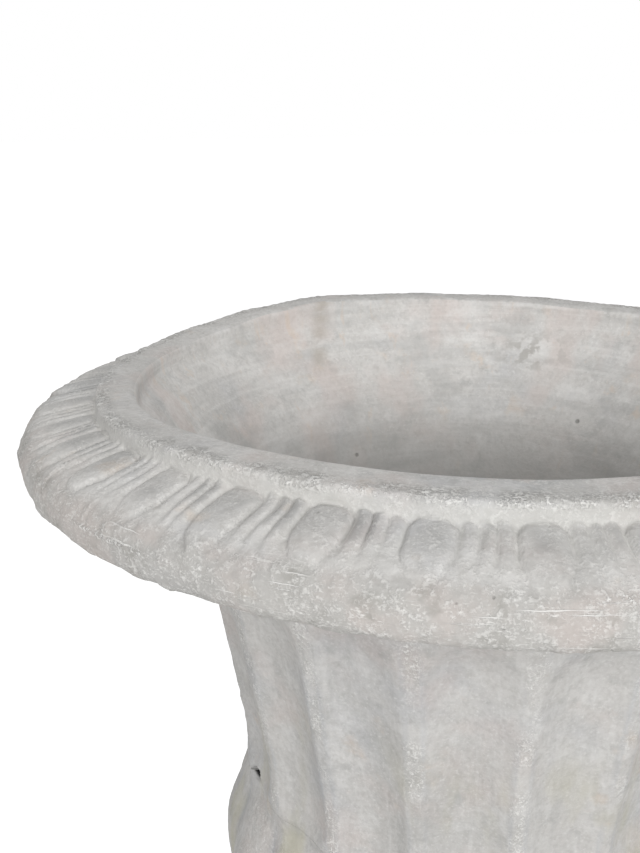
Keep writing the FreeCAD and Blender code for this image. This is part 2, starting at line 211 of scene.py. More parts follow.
def finish_piece(bm, name, body, nodes, materials):
    """Turns the modelled form into a piece that rides on its body and stands for its node."""
    for face in bm.faces:
        face.smooth = True
    for edge in bm.edges:
        edge.smooth = edge.calc_face_angle(0.0) < CRISP_ANGLE
    bm.normal_update()
    mesh = bpy.data.meshes.new(name)
    bm.to_mesh(mesh)
    bm.free()
    for material in materials:
        mesh.materials.append(material)
    piece = bpy.data.objects.new(name, mesh)
    bpy.context.scene.collection.objects.link(piece)
    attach(piece, body)
    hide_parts(*nodes)
    return piece


# Finishes

class Finish:
    """A surface finish laid on coat by coat, on the piece's own coordinates."""

    def __init__(self, name, colour, roughness):
        self.material = bpy.data.materials.new(name)
        self.material.use_nodes = True
        self.nodes = self.material.node_tree.nodes
        self.links = self.material.node_tree.links
        self.shader = self.nodes["Principled BSDF"]
        self.shader.inputs["Roughness"].default_value = roughness
        self.place = self.nodes.new("ShaderNodeTexCoord").outputs["Object"]
        self.colour = colour
        self.height = None

    def put(self, socket, value):
        """Links a socket to another one, or sets it to a plain value."""
        if isinstance(value, bpy.types.NodeSocket):
            self.links.new(value, socket)
        else:
            socket.default_value = value

    def sum_of(self, kind, one, other):
        node = self.nodes.new("ShaderNodeMath")
        node.operation = kind
        self.put(node.inputs[0], one)
        self.put(node.inputs[1], other)
        return node.outputs[0]

    def times(self, one, other):
        return self.sum_of("MULTIPLY", one, other)

    def plus(self, one, other):
        return self.sum_of("ADD", one, other)

    def stretched(self, size, stretch, shift):
        """The coordinates counted in grains of the size in millimetres, longer where stretched."""
        node = self.nodes.new("ShaderNodeMapping")
        self.links.new(self.place, node.inputs["Vector"])
        node.inputs["Location"].default_value = (shift, shift * 2.3, -shift)
        node.inputs["Scale"].default_value = [1 / (size * MM * way) for way in stretch]
        return node.outputs["Vector"]

    def grain(self, size, stretch=(1, 1, 1), shift=0.0, detail=3.0, rough=0.55):
        """Noise from 0 to 1 with lumps of the size in millimetres."""
        node = self.nodes.new("ShaderNodeTexNoise")
        self.links.new(self.stretched(size, stretch, shift), node.inputs["Vector"])
        node.inputs["Scale"].default_value = 1.0
        node.inputs["Detail"].default_value = detail
        node.inputs["Roughness"].default_value = rough
        return node.outputs["Fac"]

    def pits(self, size, shift):
        """How far it is to the nearest of many scattered points, in shares of their spacing."""
        node = self.nodes.new("ShaderNodeTexVoronoi")
        self.links.new(self.stretched(size, (1, 1, 1), shift), node.inputs["Vector"])
        node.inputs["Scale"].default_value = 1.0
        return node.outputs["Distance"]

    def share(self, source, low, high, top=1.0):
        """0 where the source is below low, rising to top at high; low may be above high."""
        node = self.nodes.new("ShaderNodeMapRange")
        node.interpolation_type = "SMOOTHSTEP"
        self.links.new(source, node.inputs["Value"])
        node.inputs["From Min"].default_value = min(low, high)
        node.inputs["From Max"].default_value = max(low, high)
        node.inputs["To Min"].default_value = 0.0 if low < high else top
        node.inputs["To Max"].default_value = top if low < high else 0.0
        return node.outputs["Result"]

    def painted(self, name):
        """A value painted on the mesh."""
        node = self.nodes.new("ShaderNodeAttribute")
        node.attribute_name = name
        return node.outputs["Fac"]

    def level(self):
        """Height in the piece's own coordinates, in metres."""
        node = self.nodes.new("ShaderNodeSeparateXYZ")
        self.links.new(self.place, node.inputs[0])
        return node.outputs["Z"]

    def coat(self, mask, colour):
        """Lays a colour over the coats so far where the mask says."""
        node = self.nodes.new("ShaderNodeMix")
        node.data_type = "RGBA"
        self.put(node.inputs["Factor"], mask)
        self.put(node.inputs["A"], self.colour)
        self.put(node.inputs["B"], colour)
        self.colour = node.outputs["Result"]

    def mottle(self, colour, size, start, full, most, where=None, **kind):
        """Lays a colour on in clouds of the size in millimetres. They begin where the noise passes start
        and cover by the share called most where it passes full. With where, only in that zone."""
        clouds = self.share(self.grain(size, **kind), start, full, most)
        self.coat(clouds if where is None else self.times(clouds, where), colour)

    def stain(self, zone, strength, colour):
        """Lays a colour over a zone that is painted on the mesh."""
        self.coat(self.times(self.painted(zone), strength), colour)

    def tone(self, value):
        """Makes all the coats so far paler or darker."""
        node = self.nodes.new("ShaderNodeHueSaturation")
        node.inputs["Value"].default_value = value
        self.put(node.inputs["Color"], self.colour)
        self.colour = node.outputs["Color"]

    def raise_by(self, source, amount):
        """Adds to the surface's fine height, in millimetres where the source is 1."""
        lifted = self.times(source, amount)
        self.height = lifted if self.height is None else self.plus(self.height, lifted)

    def done(self):
        """The material with all its coats and its fine height."""
        self.put(self.shader.inputs["Base Color"], self.colour)
        if self.height is not None:
            node = self.nodes.new("ShaderNodeBump")
            node.inputs["Strength"].default_value = 1.0
            node.inputs["Distance"].default_value = MM
            self.links.new(self.height, node.inputs["Height"])
            self.links.new(node.outputs["Normal"], self.shader.inputs["Normal"])
        return self.material


STONE = shade(206, 204, 201)
STONE_DARK = shade(172, 172, 170)
STONE_PALE = shade(226, 225, 223)
LIME = shade(246, 245, 242)
POOLED_WASH = shade(222, 221, 217)
RISER_WASH = shade(202, 201, 197)
RUBBED_CROWN = shade(152, 152, 151)
WORN_LIP = shade(142, 140, 135)
FASCIA_GREY = shade(162, 160, 156)
WARM = shade(210, 194, 178)
ROSE = shade(206, 192, 186)
COOL = shade(178, 182, 189)
OLIVE = shade(192, 188, 164)
DIRT = shade(146, 144, 138)
RUST = shade(176, 142, 112)
RUN_STAIN = shade(178, 171, 162)
DAMP_STAIN = shade(166, 163, 158)
# Painted shade for the lower inside of the planter
DEEP_SHADE = shade(150, 149, 146)
# Painted shade inside the air holes
PINHOLE_SHADE = shade(112, 110, 105)
# Painted shadow for the open slit at the waist
GAP_SHADOW = shade(30, 29, 28)


def stone_ground(name):
    """The limewashed cement that all the castings share: broad clouds, mottling and sandy grain."""
    stone = Finish(name, STONE, 0.88)
    stone.shader.inputs["Specular IOR Level"].default_value = 0.25
    stone.mottle(STONE_DARK, size=85, start=0.45, full=0.72, most=0.4, shift=2.0)
    stone.mottle(COOL, size=50, start=0.5, full=0.72, most=0.3, shift=7.0)
    stone.mottle(ROSE, size=38, start=0.52, full=0.72, most=0.35, shift=17.0)
    stone.mottle(STONE_PALE, size=17, start=0.46, full=0.68, most=0.45, shift=4.0, detail=5.0, rough=0.62)
    stone.mottle(STONE_DARK, size=11, start=0.54, full=0.7, most=0.4, shift=21.0, detail=5.0, rough=0.62)
    stone.mottle(WARM, size=20, start=0.6, full=0.74, most=0.45, shift=11.0, detail=4.0)
    stone.mottle(DIRT, size=2.6, start=0.4, full=0.7, most=0.2, shift=1.0)
    stone.mottle(STONE_PALE, size=1.5, start=0.55, full=0.7, most=0.4, shift=5.0)
    stone.raise_by(stone.grain(size=1.5, detail=2.0), 0.2)
    stone.raise_by(stone.grain(size=6.0, shift=3.0), 0.5)
    return stone


def add_pinholes(stone, size, shift, reach):
    """Small air holes left in the casting, in some places only."""
    hole = stone.share(stone.pits(size, shift), reach, reach * 0.4)
    hole = stone.times(hole, stone.share(stone.grain(size=40, shift=shift + 3), 0.48, 0.6))
    # Painted shade: the holes are painted darker as well as pressed in
    stone.coat(stone.times(hole, 0.6), PINHOLE_SHADE)
    stone.raise_by(hole, -0.5)


def add_crumbs(stone, crust, size, shift, height, thin=0.5):
    """White crumbs of lime in loose groups, where the crust is painted."""
    crumbs = stone.share(stone.grain(size, shift=shift, rough=0.6), thin, thin + 0.12)
    groups = stone.share(stone.grain(size * 5, shift=shift + 2), thin - 0.12, thin + 0.08)
    white = stone.times(stone.times(crumbs, groups), crust)
    stone.coat(stone.times(white, 0.9), LIME)
    stone.raise_by(white, height)


def make_rim_finish():
    """Rim: wash lying pale in the hollows, rubbed crowns, a dark worn lip, and lime on edges and fascia."""
    stone = stone_ground("limewashed_rim")
    crust = stone.painted("crust")
    fascia = stone.painted("fascia")
    stone.stain("hollow", 0.5, POOLED_WASH)
    stone.stain("rubbed", 0.6, RUBBED_CROWN)
    stone.stain("wash", 0.6, RISER_WASH)
    stone.stain("worn", 0.5, WORN_LIP)
    stone.stain("fascia", 0.6, FASCIA_GREY)
    stone.mottle(ROSE, size=26, start=0.42, full=0.6, most=0.3, where=fascia, shift=15.0, detail=4.0)
    stone.mottle(DIRT, size=13, start=0.52, full=0.68, most=0.5, where=fascia, shift=25.0, detail=4.0)
    stone.mottle(RUST, size=16, start=0.72, full=0.8, most=0.5, where=fascia, shift=33.0)
    scores = stone.share(stone.grain(size=1.1, stretch=(28, 28, 1), shift=3.0, detail=2.0), 0.62, 0.7)
    scored = stone.share(stone.grain(size=30, shift=9.0), 0.48, 0.6)
    marks = stone.times(stone.times(scores, scored), fascia)
    stone.coat(stone.times(marks, 0.7), LIME)
    stone.raise_by(marks, 0.25)
    specks = stone.share(stone.grain(size=0.9, stretch=(2.5, 2.5, 1), shift=36.0), 0.57, 0.7, 0.45)
    specked = stone.share(stone.grain(size=18, shift=28.0), 0.42, 0.58)
    stone.coat(stone.times(stone.times(specks, specked), fascia), LIME)
    add_crumbs(stone, crust, size=1.7, shift=8.0, height=0.4)
    add_crumbs(stone, crust, size=1.0, shift=18.0, height=0.25)
    add_crumbs(stone, stone.painted("worn"), size=1.6, shift=28.0, height=0.6, thin=0.45)
    add_pinholes(stone, size=12.0, shift=2.0, reach=0.07)
    return stone.done()


def make_bell_finish():
    """Bell and bowl: soft upright streaks of wash, rough ridges with cool painted shade beside them, painted
    shadow in the open slit, and a few air holes.
    """
    stone = stone_ground("limewashed_bell")
    stone.mottle(STONE_PALE, size=3.2, start=0.5, full=0.75, most=0.3, stretch=(1, 1, 16), shift=5.0)
    stone.mottle(STONE_DARK, size=6.0, start=0.52, full=0.78, most=0.3, stretch=(1, 1, 12), shift=9.0)
    low = stone.share(stone.level(), 360 * MM, 300 * MM)
    stone.mottle(OLIVE, size=26, start=0.5, full=0.7, most=0.6, where=low, stretch=(1, 1, 3), shift=12.0)
    # Painted shade: a cool darker tone beside the ridges, in the grooves of the lobes and in the crease of
    # the socle
    stone.stain("hollow", 0.4, COOL)
    # Painted shadow: the open stretch of the waist joint is painted nearly black
    stone.coat(stone.share(stone.painted("gap"), 0.3, 0.7), GAP_SHADOW)
    stone.tone(0.86)
    add_crumbs(stone, stone.painted("crust"), size=1.7, shift=8.0, height=0.35)
    add_crumbs(stone, stone.painted("crust"), size=0.9, shift=22.0, height=0.2)
    add_pinholes(stone, size=26.0, shift=5.0, reach=0.05)
    return stone.done()


def make_inside_finish():
    """Inside: smoothed while wet, with level brush marks, a warm run and a damp patch, and painted shade
    that makes it darker low down.
    """
    stone = stone_ground("brushed_inside")
    brush = stone.grain(size=2.6, stretch=(30, 30, 1), shift=4.0, detail=4.0)
    stone.coat(stone.share(brush, 0.46, 0.72, 0.28), STONE_PALE)
    stone.mottle(STONE_DARK, size=9, start=0.48, full=0.7, most=0.35,
                 stretch=(6, 6, 1), shift=8.0, detail=4.0)
    stone.mottle(ROSE, size=45, start=0.5, full=0.66, most=0.4, stretch=(1, 1, 2), shift=19.0)
    stone.mottle(WARM, size=9, start=0.62, full=0.74, most=0.45, stretch=(1, 1, 14), shift=23.0)
    stone.mottle(STONE_DARK, size=32, start=0.55, full=0.68, most=0.4, shift=31.0, detail=4.0)
    smear = stone.grain(size=14, stretch=(3, 3, 1), shift=37.0, detail=5.0, rough=0.6)
    stone.coat(stone.share(smear, 0.52, 0.68, 0.35), STONE_PALE)
    stone.coat(stone.times(stone.painted("run"), stone.share(smear, 0.62, 0.4, 0.8)), RUN_STAIN)
    edge = stone.grain(size=8.0, shift=41.0, detail=4.0)
    stone.coat(stone.times(stone.painted("damp"), stone.share(edge, 0.48, 0.58, 0.75)), DAMP_STAIN)
    stone.tone(1.12)
    # Painted shade: the inside gets darker towards the bottom, where less light reaches
    stone.coat(stone.share(stone.level(), 450 * MM, 385 * MM, 0.55), DEEP_SHADE)
    stone.raise_by(brush, 0.12)
    add_pinholes(stone, size=30.0, shift=9.0, reach=0.06)
    return stone.done()


def make_mortar_finish():
    """Sandy mortar."""
    mortar = Finish("sandy_mortar", shade(186, 176, 162), 0.92)
    mortar.mottle(shade(164, 152, 136), size=10, start=0.45, full=0.7, most=0.5, shift=2.0)
    mortar.mottle(STONE_PALE, size=1.2, start=0.55, full=0.7, most=0.6, shift=6.0)
    mortar.raise_by(mortar.grain(size=1.4), 0.6)
    return mortar.done()


def make_steel_finish():
    """Drawn steel with draw lines along the pins and a little rust."""
    steel = Finish("drawn_steel", shade(168, 169, 171), 0.38)
    steel.shader.inputs["Metallic"].default_value = 1.0
    steel.mottle(shade(138, 139, 142), size=0.8, start=0.4, full=0.7, most=0.5,
                 stretch=(1, 1, 40), detail=2.0)
    steel.mottle(shade(128, 104, 84), size=5.0, start=0.62, full=0.75, most=0.5, shift=3.0)
    steel.raise_by(steel.grain(size=0.6, stretch=(1, 1, 40)), 0.04)
    return steel.done()


def make_rubber_finish():
    """Black rubber with a dusty bloom."""
    rubber = Finish("black_rubber", shade(44, 44, 45), 0.82)
    rubber.mottle(shade(58, 57, 56), size=7.0, start=0.45, full=0.7, most=0.5, shift=2.0)
    rubber.mottle(shade(92, 90, 87), size=0.9, start=0.6, full=0.72, most=0.5, shift=5.0)
    rubber.raise_by(rubber.grain(size=0.8, detail=2.0), 0.12)
    return rubber.done()


def make_pipe_finish():
    """Grey plastic pipe with lines along it and dried soil."""
    pipe = Finish("grey_pipe", shade(142, 144, 147), 0.5)
    pipe.mottle(shade(126, 128, 131), size=0.9, start=0.45, full=0.7, most=0.35,
                stretch=(1, 1, 60), shift=2.0)
    pipe.mottle(shade(172, 168, 160), size=16, start=0.55, full=0.75, most=0.5, shift=7.0)
    pipe.raise_by(pipe.grain(size=0.8, stretch=(1, 1, 60)), 0.05)
    return pipe.done()


# Rim

# Radii and levels of its section, from the mouth and the lap over the bell's rib out to the widest line
MOUTH = 171.5
MOUTH_FOOT_LEVEL = 478
LAP = 139.1
LAP_LEVEL = 433.9
REBATE = 140.4
LIP_EDGE = 194.5
BAND_TOP = 195.5
BAND_TOP_LEVEL = 482.2
BAND_FOOT = 219.5
BAND_FOOT_LEVEL = 474.5
BAND_LENGTH = 24.7
BAND_MIDDLE = (BAND_TOP + BAND_FOOT) / 2
SHOULDER_LEVEL = 475.3
SHOULDER_WAY = 21.4
SHOULDER_STRETCH = 1.35
WIDEST = 226.6
FASCIA_LEVEL = 466.5
LOW_EDGE_LEVEL = 452.5
UNDERSIDE_LEVEL = 449

# Eggs and reeds, with their widths counted in columns of the mesh
EGG_COLUMNS = 38
COLUMN = EGG_PITCH / EGG_COLUMNS * BAND_MIDDLE
REED_HALF = 3 * COLUMN
REED_RELIEF = 2.5
EGG_HALF = 8.8 * COLUMN
EGG_SHOULDER = 10.0
EGG_LENGTH = 28.5
EGG_RELIEF = 2.6

# The funnel that the inside of the mouth follows
FUNNEL_FOOT = 140
FUNNEL_FOOT_LEVEL = 435
FUNNEL_LEAN = 0.7326
FUNNEL_TOP_LEVEL = 472

# How far the lip of the worn casting lies above or below its level, by degrees round the axis
LIP_SAG = [(-180, -4.4), (-163, -4.2), (-149, -2.4), (-129, 0.2), (-59, 0.2), (0, 0.0), (59, -2.4),
           (81, -0.4), (105, 1.6), (119, 3.0), (133, 0.4), (147, -3.2), (161, -5.0), (180, -4.4)]

# How far its outer edge lies inside the true circle
LIP_PULL = [(-180, 4.0), (-160, 4.3), (-145, 3.0), (-125, 1.6), (-100, 0.6), (-60, 0.4), (0, 0.0),
            (130, 0.0), (150, 1.4), (165, 3.0), (180, 4.0)]

# Where the run and the damp patch inside the mouth lie, in degrees round the axis and in height
RUN_DEGREES = 121
RUN_FOOT_LEVEL = 448
DAMP_DEGREES = 72
DAMP_LEVEL = 459


def inside_radius(height):
    """The one smooth inside of rim and bell: the rim's funnel flowing into the bell's inner face."""
    funnel = FUNNEL_FOOT + (height - FUNNEL_FOOT_LEVEL) * FUNNEL_LEAN
    wall = bell_outline(height) - WALL
    blend = 5.0
    set_in = 0.8
    return (funnel + wall + math.hypot(funnel - wall, blend)) / 2 - set_in


def rim_spacing(radius, height):
    """Rows are close on the ornament and the lip, wide inside and underneath."""
    if radius > MOUTH + 2.5 and height > LIP_TOP - 18:
        return 1.2 if radius > LIP_EDGE - 1.5 else 2.6
    if radius > BAND_FOOT - 5.5:
        return 1.65
    return 5.0


def way_down(radius, height):
    """Distance from the riser's foot down the band and over its shoulder, in millimetres."""
    if height > SHOULDER_LEVEL:
        along = (radius - BAND_TOP) / (BAND_FOOT - BAND_TOP) * BAND_LENGTH
        return along - max(height - BAND_TOP_LEVEL - 0.2, 0)
    return SHOULDER_WAY + (SHOULDER_LEVEL - height) * SHOULDER_STRETCH


def reed_relief(around, down, egg, foot):
    """Relief of the three reeds between two eggs, each with its own worn start and end."""
    middle = BAND_MIDDLE * EGG_PITCH / 2
    for reed in (-1, 0, 1):
        offset = (abs(around) - middle - reed * 2 * REED_HALF) / REED_HALF
        if abs(offset) < 1:
            start = -1.2 + 1.8 * offset * offset + 0.5 * chance(egg * 3 + reed, 5)
            end = foot - 1.0 - 2.0 * offset * offset + 1.5 * chance(egg * 3 + reed, 6)
            rise = ease(down, start, start + 2.2) * (1 - 0.9 * ease(down, end - 12.0, end + 1.0))
            return REED_RELIEF * egg_wear(egg) * rise * (1 - offset * offset) ** 0.6
    return 0.0


def egg_wear(egg):
    """How high an egg and the reeds beside it stand, about 1."""
    return 1 + 0.16 * chance(egg, 1)


def egg_band(around, down, egg):
    """Relief of the band in millimetres: a low tongue-shaped egg in the middle of its share, a groove round
    it, and three reeds between two eggs. Around counts from the egg's centre, down from the riser."""
    foot = EGG_LENGTH + 1.5 * chance(egg, 2)
    across = abs(around) / EGG_HALF
    along = max(down - EGG_SHOULDER, 0.0) / (foot - EGG_SHOULDER)
    arch = max(6.5 - down, 0.0) / 7.8
    spread = across ** 2.2 + along ** 2.0 + arch ** 2.2
    fade = 1 - (0.6 + 0.2 * chance(egg, 3)) * ease(down, 15, 28)
    if spread < 1:
        return EGG_RELIEF * egg_wear(egg) * fade * (1 - spread) ** 0.5
    groove = -0.9 * bump_at(spread, 1.1, 0.25) * fade
    relief = reed_relief(around, down, egg, foot)
    return relief + groove * (1 - ease(relief, 0.2, 1.4)) - 0.5 * fade * ease(down, -1, 2)


def shape_band(vert, paint, spot, down):
    """Eggs and reeds: paints where their wash lies and where it is rubbed off, and leads them a little
    aside. Gives the lift and the roughness there, in millimetres."""
    place = spot.place
    egg = round(spot.angle / EGG_PITCH)
    around = (spot.angle - egg * EGG_PITCH) * BAND_MIDDLE
    relief = egg_band(around, down, egg) * (0.8 + 0.2 * ease(grit(place, 30, 12.0), -0.5, 0.5))
    bare = ease(grit(place, 11, 15.0), -0.35, 0.35)
    crown = bump_at(around, 0, EGG_HALF) * bump_at(down, 11, 15) * bare
    rubbing = 0.6 if abs(around) < EGG_HALF else 1.1
    vert[paint["hollow"]] = (1 - ease(relief, -0.6, 0.9)) * bump_at(down, 9, 17)
    vert[paint["rubbed"]] = max(0.9 * crown, rubbing * ease(relief, 0.8, 1.8) * bump_at(down, 7, 18))
    aside = 0.8 * chance(egg, 9) * (down / BAND_LENGTH - 0.5) + 0.7 * grit(place, 18, 3.0)
    along = Vector((-place.y, place.x, 0)).normalized()
    spot.place = place + along * aside * ease(down, 0, 4) * MM
    return relief, 0.14 + 0.25 * ease(down, 18, 26) + 0.2 * crown


def shape_ornament(vert, paint, spot):
    """Lip, riser, band and fascia: paints their zones and gives the lift there, in millimetres. Blobs of
    lime hang where the band ends, and a raised line runs along the fascia at the left."""
    radius, height = spot.radius, spot.height
    down = way_down(radius, height)
    fascia = ease(radius, BAND_FOOT - 3.5, BAND_FOOT + 1.5)
    fascia *= 1 - ease(height, BAND_FOOT_LEVEL - 4.5, BAND_FOOT_LEVEL + 1.5)
    lip_edge = bump_at(radius, LIP_EDGE - 2.9, 8.5) * ease(height, LIP_TOP - 4, LIP_TOP - 1.5)
    low_edge = bump_at(height, LOW_EDGE_LEVEL, 5) * ease(radius, BAND_FOOT - 5.5, BAND_FOOT - 2.5)
    riser = ease(radius, LIP_EDGE - 0.9, LIP_EDGE - 0.1) * (1 - ease(height, LIP_TOP - 4, LIP_TOP - 0.5))
    riser *= radius < BAND_TOP + 0.7
    lift = 0.0
    rough = 0.1
    if radius > LIP_EDGE + 0.2 and FASCIA_LEVEL - 0.5 < height < LIP_TOP - 5:
        lift, rough = shape_band(vert, paint, spot, down)
    place = spot.place
    blob = ease(grit(place, 9, 21.0), 0.4, 0.62) * ease(down, 22, 27) * (radius > BAND_FOOT - 3.5)
    line_level = FASCIA_LEVEL - 1 + 1.5 * grit(place, 60, 23.0)
    line = bump_at(height, line_level, 0.9) * ease(radius, BAND_FOOT + 1.5, BAND_FOOT + 4.5)
    line *= 1 - ease(spot.degrees, -125, -110) if spot.angle < 0 else 0.0
    rough += 0.12 * fascia + 0.3 * lip_edge
    lift += fascia * (0.5 * grit(place, 17, 1.0) + 0.3 * grit(place, 7, 2.0)) + 0.6 * blob + 0.7 * line
    lift += low_edge * (0.6 * grit(place, 13, 4.0) + 0.3 * grit(place, 5, 5.0))
    lift += rough * grit(place, 3.0, 6.0) + 0.35 * grit(place, 26, 7.0)
    band_end = 0.35 * ease(down, 18, 26) * (radius > BAND_MIDDLE + 2.5)
    worn = bump_at(radius, LIP_EDGE - 4, 9) * ease(height, LIP_TOP - 5, LIP_TOP - 2)
    vert[paint["fascia"]] = fascia
    vert[paint["wash"]] = riser
    vert[paint["crust"]] = max(0.1 * fascia, lip_edge, band_end, blob, line, 0.26)
    vert[paint["worn"]] = worn * ease(grit(place, 12, 31.0), -0.5, 0.3)
    return lift


def shape_funnel(vert, paint, spot):
    """The brushed inside of the mouth and the plain underside: paints the run and the damp patch, and gives
    the lift there, in millimetres."""
    place, radius, height = spot.place, spot.radius, spot.height
    lean = (MOUTH - LAP) / (MOUTH_FOOT_LEVEL - LAP_LEVEL)
    if LAP_LEVEL - 0.4 < height < FUNNEL_TOP_LEVEL and radius < LAP + 0.2 + (height - LAP_LEVEL) * lean:
        place.xy *= inside_radius(height) / radius
    brushed = Vector((place.x / (50 * MM), place.y / (50 * MM), place.z / (11 * MM)))
    lift = 0.45 * noise.noise(brushed) + 0.4 * grit(place, 30, 8.0)
    run_bend = (LIP_TOP - 4 - height) * 0.14
    above_foot = ease(height, RUN_FOOT_LEVEL, RUN_FOOT_LEVEL + 14)
    vert[paint["run"]] = bump_at(spot.degrees, RUN_DEGREES + run_bend, 3.4) * above_foot
    vert[paint["damp"]] = bump_at(spot.degrees, DAMP_DEGREES, 13) * bump_at(height, DAMP_LEVEL, 18)
    if radius < MOUTH + 0.5:
        return lift * ease(height, LAP_LEVEL - 0.9, LAP_LEVEL + 6.1)
    return lift * ease(height, RIM_SEAT + 1, RIM_SEAT + 5)


def shape_rim(bm, paint):
    """Moves the turned ring's surface into the worn ornament, the uneven lip and the brushed inside."""
    for vert, normal in with_normals(bm):
        spot = Spot(vert)
        if spot.radius > MOUTH + 3 and spot.height > UNDERSIDE_LEVEL:
            lift = shape_ornament(vert, paint, spot)
        else:
            lift = shape_funnel(vert, paint, spot)
        place = spot.place
        place.z += by_angle(LIP_SAG, spot.degrees) * ease(spot.height, LIP_TOP - 22, LIP_TOP - 4) * MM
        near_edge = ease(spot.radius, LIP_EDGE - 16.5, LIP_EDGE - 0.5)
        near_edge *= 1 - ease(spot.radius, BAND_TOP + 2.5, BAND_FOOT + 2.5)
        near_edge *= ease(spot.height, LIP_TOP - 20, LIP_TOP - 15)
        place.xy *= 1 - by_angle(LIP_PULL, spot.degrees) * near_edge / spot.radius
        vert.co = place + normal * lift * MM + hand_shift(place)


def make_rim(outer_finish, inner_finish):
    """The rim ring. The ornament gets three columns to each one of the plain parts."""
    bm = bmesh.new()
    paint = paint_layers(bm, "hollow", "crust", "wash", "fascia", "worn", "rubbed", "run", "damp")
    section_wire(bm, [
        (MOUTH, LIP_TOP, 3.4), (MOUTH, MOUTH_FOOT_LEVEL, 6),
        (LAP, LAP_LEVEL), (LAP + 1, LAP_LEVEL + 0.9), (REBATE, RIM_SEAT),
        (NECK, RIM_SEAT), (NECK, RIM_SEAT + 10, 8),
        (BAND_FOOT - 0.3, LOW_EDGE_LEVEL - 1.2, 2), (WIDEST - 1.4, LOW_EDGE_LEVEL + 1.3, 4),
        (WIDEST, FASCIA_LEVEL, 5.5),
        (BAND_FOOT, BAND_FOOT_LEVEL, 5), (BAND_TOP, BAND_TOP_LEVEL, 1.4), (LIP_EDGE, LIP_TOP, 2.2),
    ], rim_spacing)
    turn_round(bm, columns=EGGS * EGG_COLUMNS // 3)
    divide_level(bm, 2, lambda radius, height: radius > LIP_EDGE - 8.5 and height > UNDERSIDE_LEVEL + 1)
    shape_rim(bm, paint)
    give_inside(bm, lambda radius, height: radius < MOUTH + 1.5)
    return finish_piece(bm, "egg_and_dart_rim", "bowl", ["rim"], [outer_finish, inner_finish])


# Bell

BELL_SWEEP = 1600
RIB = 139.6
FLUTE_TOP = 411
FLUTE_TOP_ARCH = 24
FLUTE_FOOT = 268
FLUTE_FOOT_ARCH = 16
FLUTE_DEPTH = 6.0
FLUTE_ROUND = 0.33
SLIT_DEGREES = -160
SLIT_DEPTH = 4.0


def bell_outline(height):
    """Radius of the bell's hollow outline: an arc from the waist to the neck."""
    rise = BELL_TOP - BELL_FOOT
    run = NECK - WAIST
    half = math.hypot(rise, run) / 2
    reach = math.sqrt(BELL_SWEEP ** 2 - half ** 2)
    centre_radius = (WAIST + NECK) / 2 + reach * rise / (2 * half)
    centre_height = (BELL_FOOT + BELL_TOP) / 2 - reach * run / (2 * half)
    return centre_radius - math.sqrt(BELL_SWEEP ** 2 - (height - centre_height) ** 2)


def waist_fillet(height):
    """Wash that rounds off the corner where the bell meets the bowl."""
    return 2.6 * bump_at(height, WAIST_LEVEL, 24) - 0.6


def open_slit(degrees, height):
    """1 in the middle of the open stretch of the waist joint, where the castings' edges are broken away."""
    return ease(bump_at(degrees, SLIT_DEGREES, 3.6) * bump_at(height, WAIST_LEVEL, 4.6), 0.15, 0.6)


def flute_at(angle):
    """The nearest flute, and how far the place is turned from its middle."""
    flute = round((angle - FLUTE_TURN) / FLUTE_PITCH)
    return flute, angle - FLUTE_TURN - flute * FLUTE_PITCH


def flute_depth(angle, height, radius):
    """How deep the flute is cut there, in millimetres, and how near the place is to a ridge. A round cutter
    makes the hollow and runs out in an arch at both ends."""
    flute, turn = flute_at(angle)
    top = min(max((FLUTE_TOP - height) / FLUTE_TOP_ARCH, 0.0), 1.0)
    foot = min(max((height - FLUTE_FOOT) / FLUTE_FOOT_ARCH, 0.0), 1.0)
    arch = (2 * top - top * top) * (2 * foot - foot * foot)
    cutter = radius * FLUTE_ROUND
    place = radius + cutter - (FLUTE_DEPTH + 0.5 * chance(flute, 4)) * arch
    reach = cutter * cutter - (place * math.sin(turn)) ** 2
    ridge = ease(abs(turn) / (FLUTE_PITCH / 2), 0.72, 0.97)
    if reach <= 0 or arch <= 0:
        return 0.0, ridge
    cut = radius - (place * math.cos(turn) - math.sqrt(reach))
    soft = 0.6
    return (cut + math.sqrt(cut * cut + soft * soft) - soft) / 2 if cut > -6 else 0.0, ridge


def waist_radius(angle):
    """Outline of the bell's foot, which the bed and the top of the bowl follow."""
    radius = bell_outline(BELL_FOOT)
    return radius - flute_depth(angle, BELL_FOOT, radius)[0] + waist_fillet(BELL_FOOT)


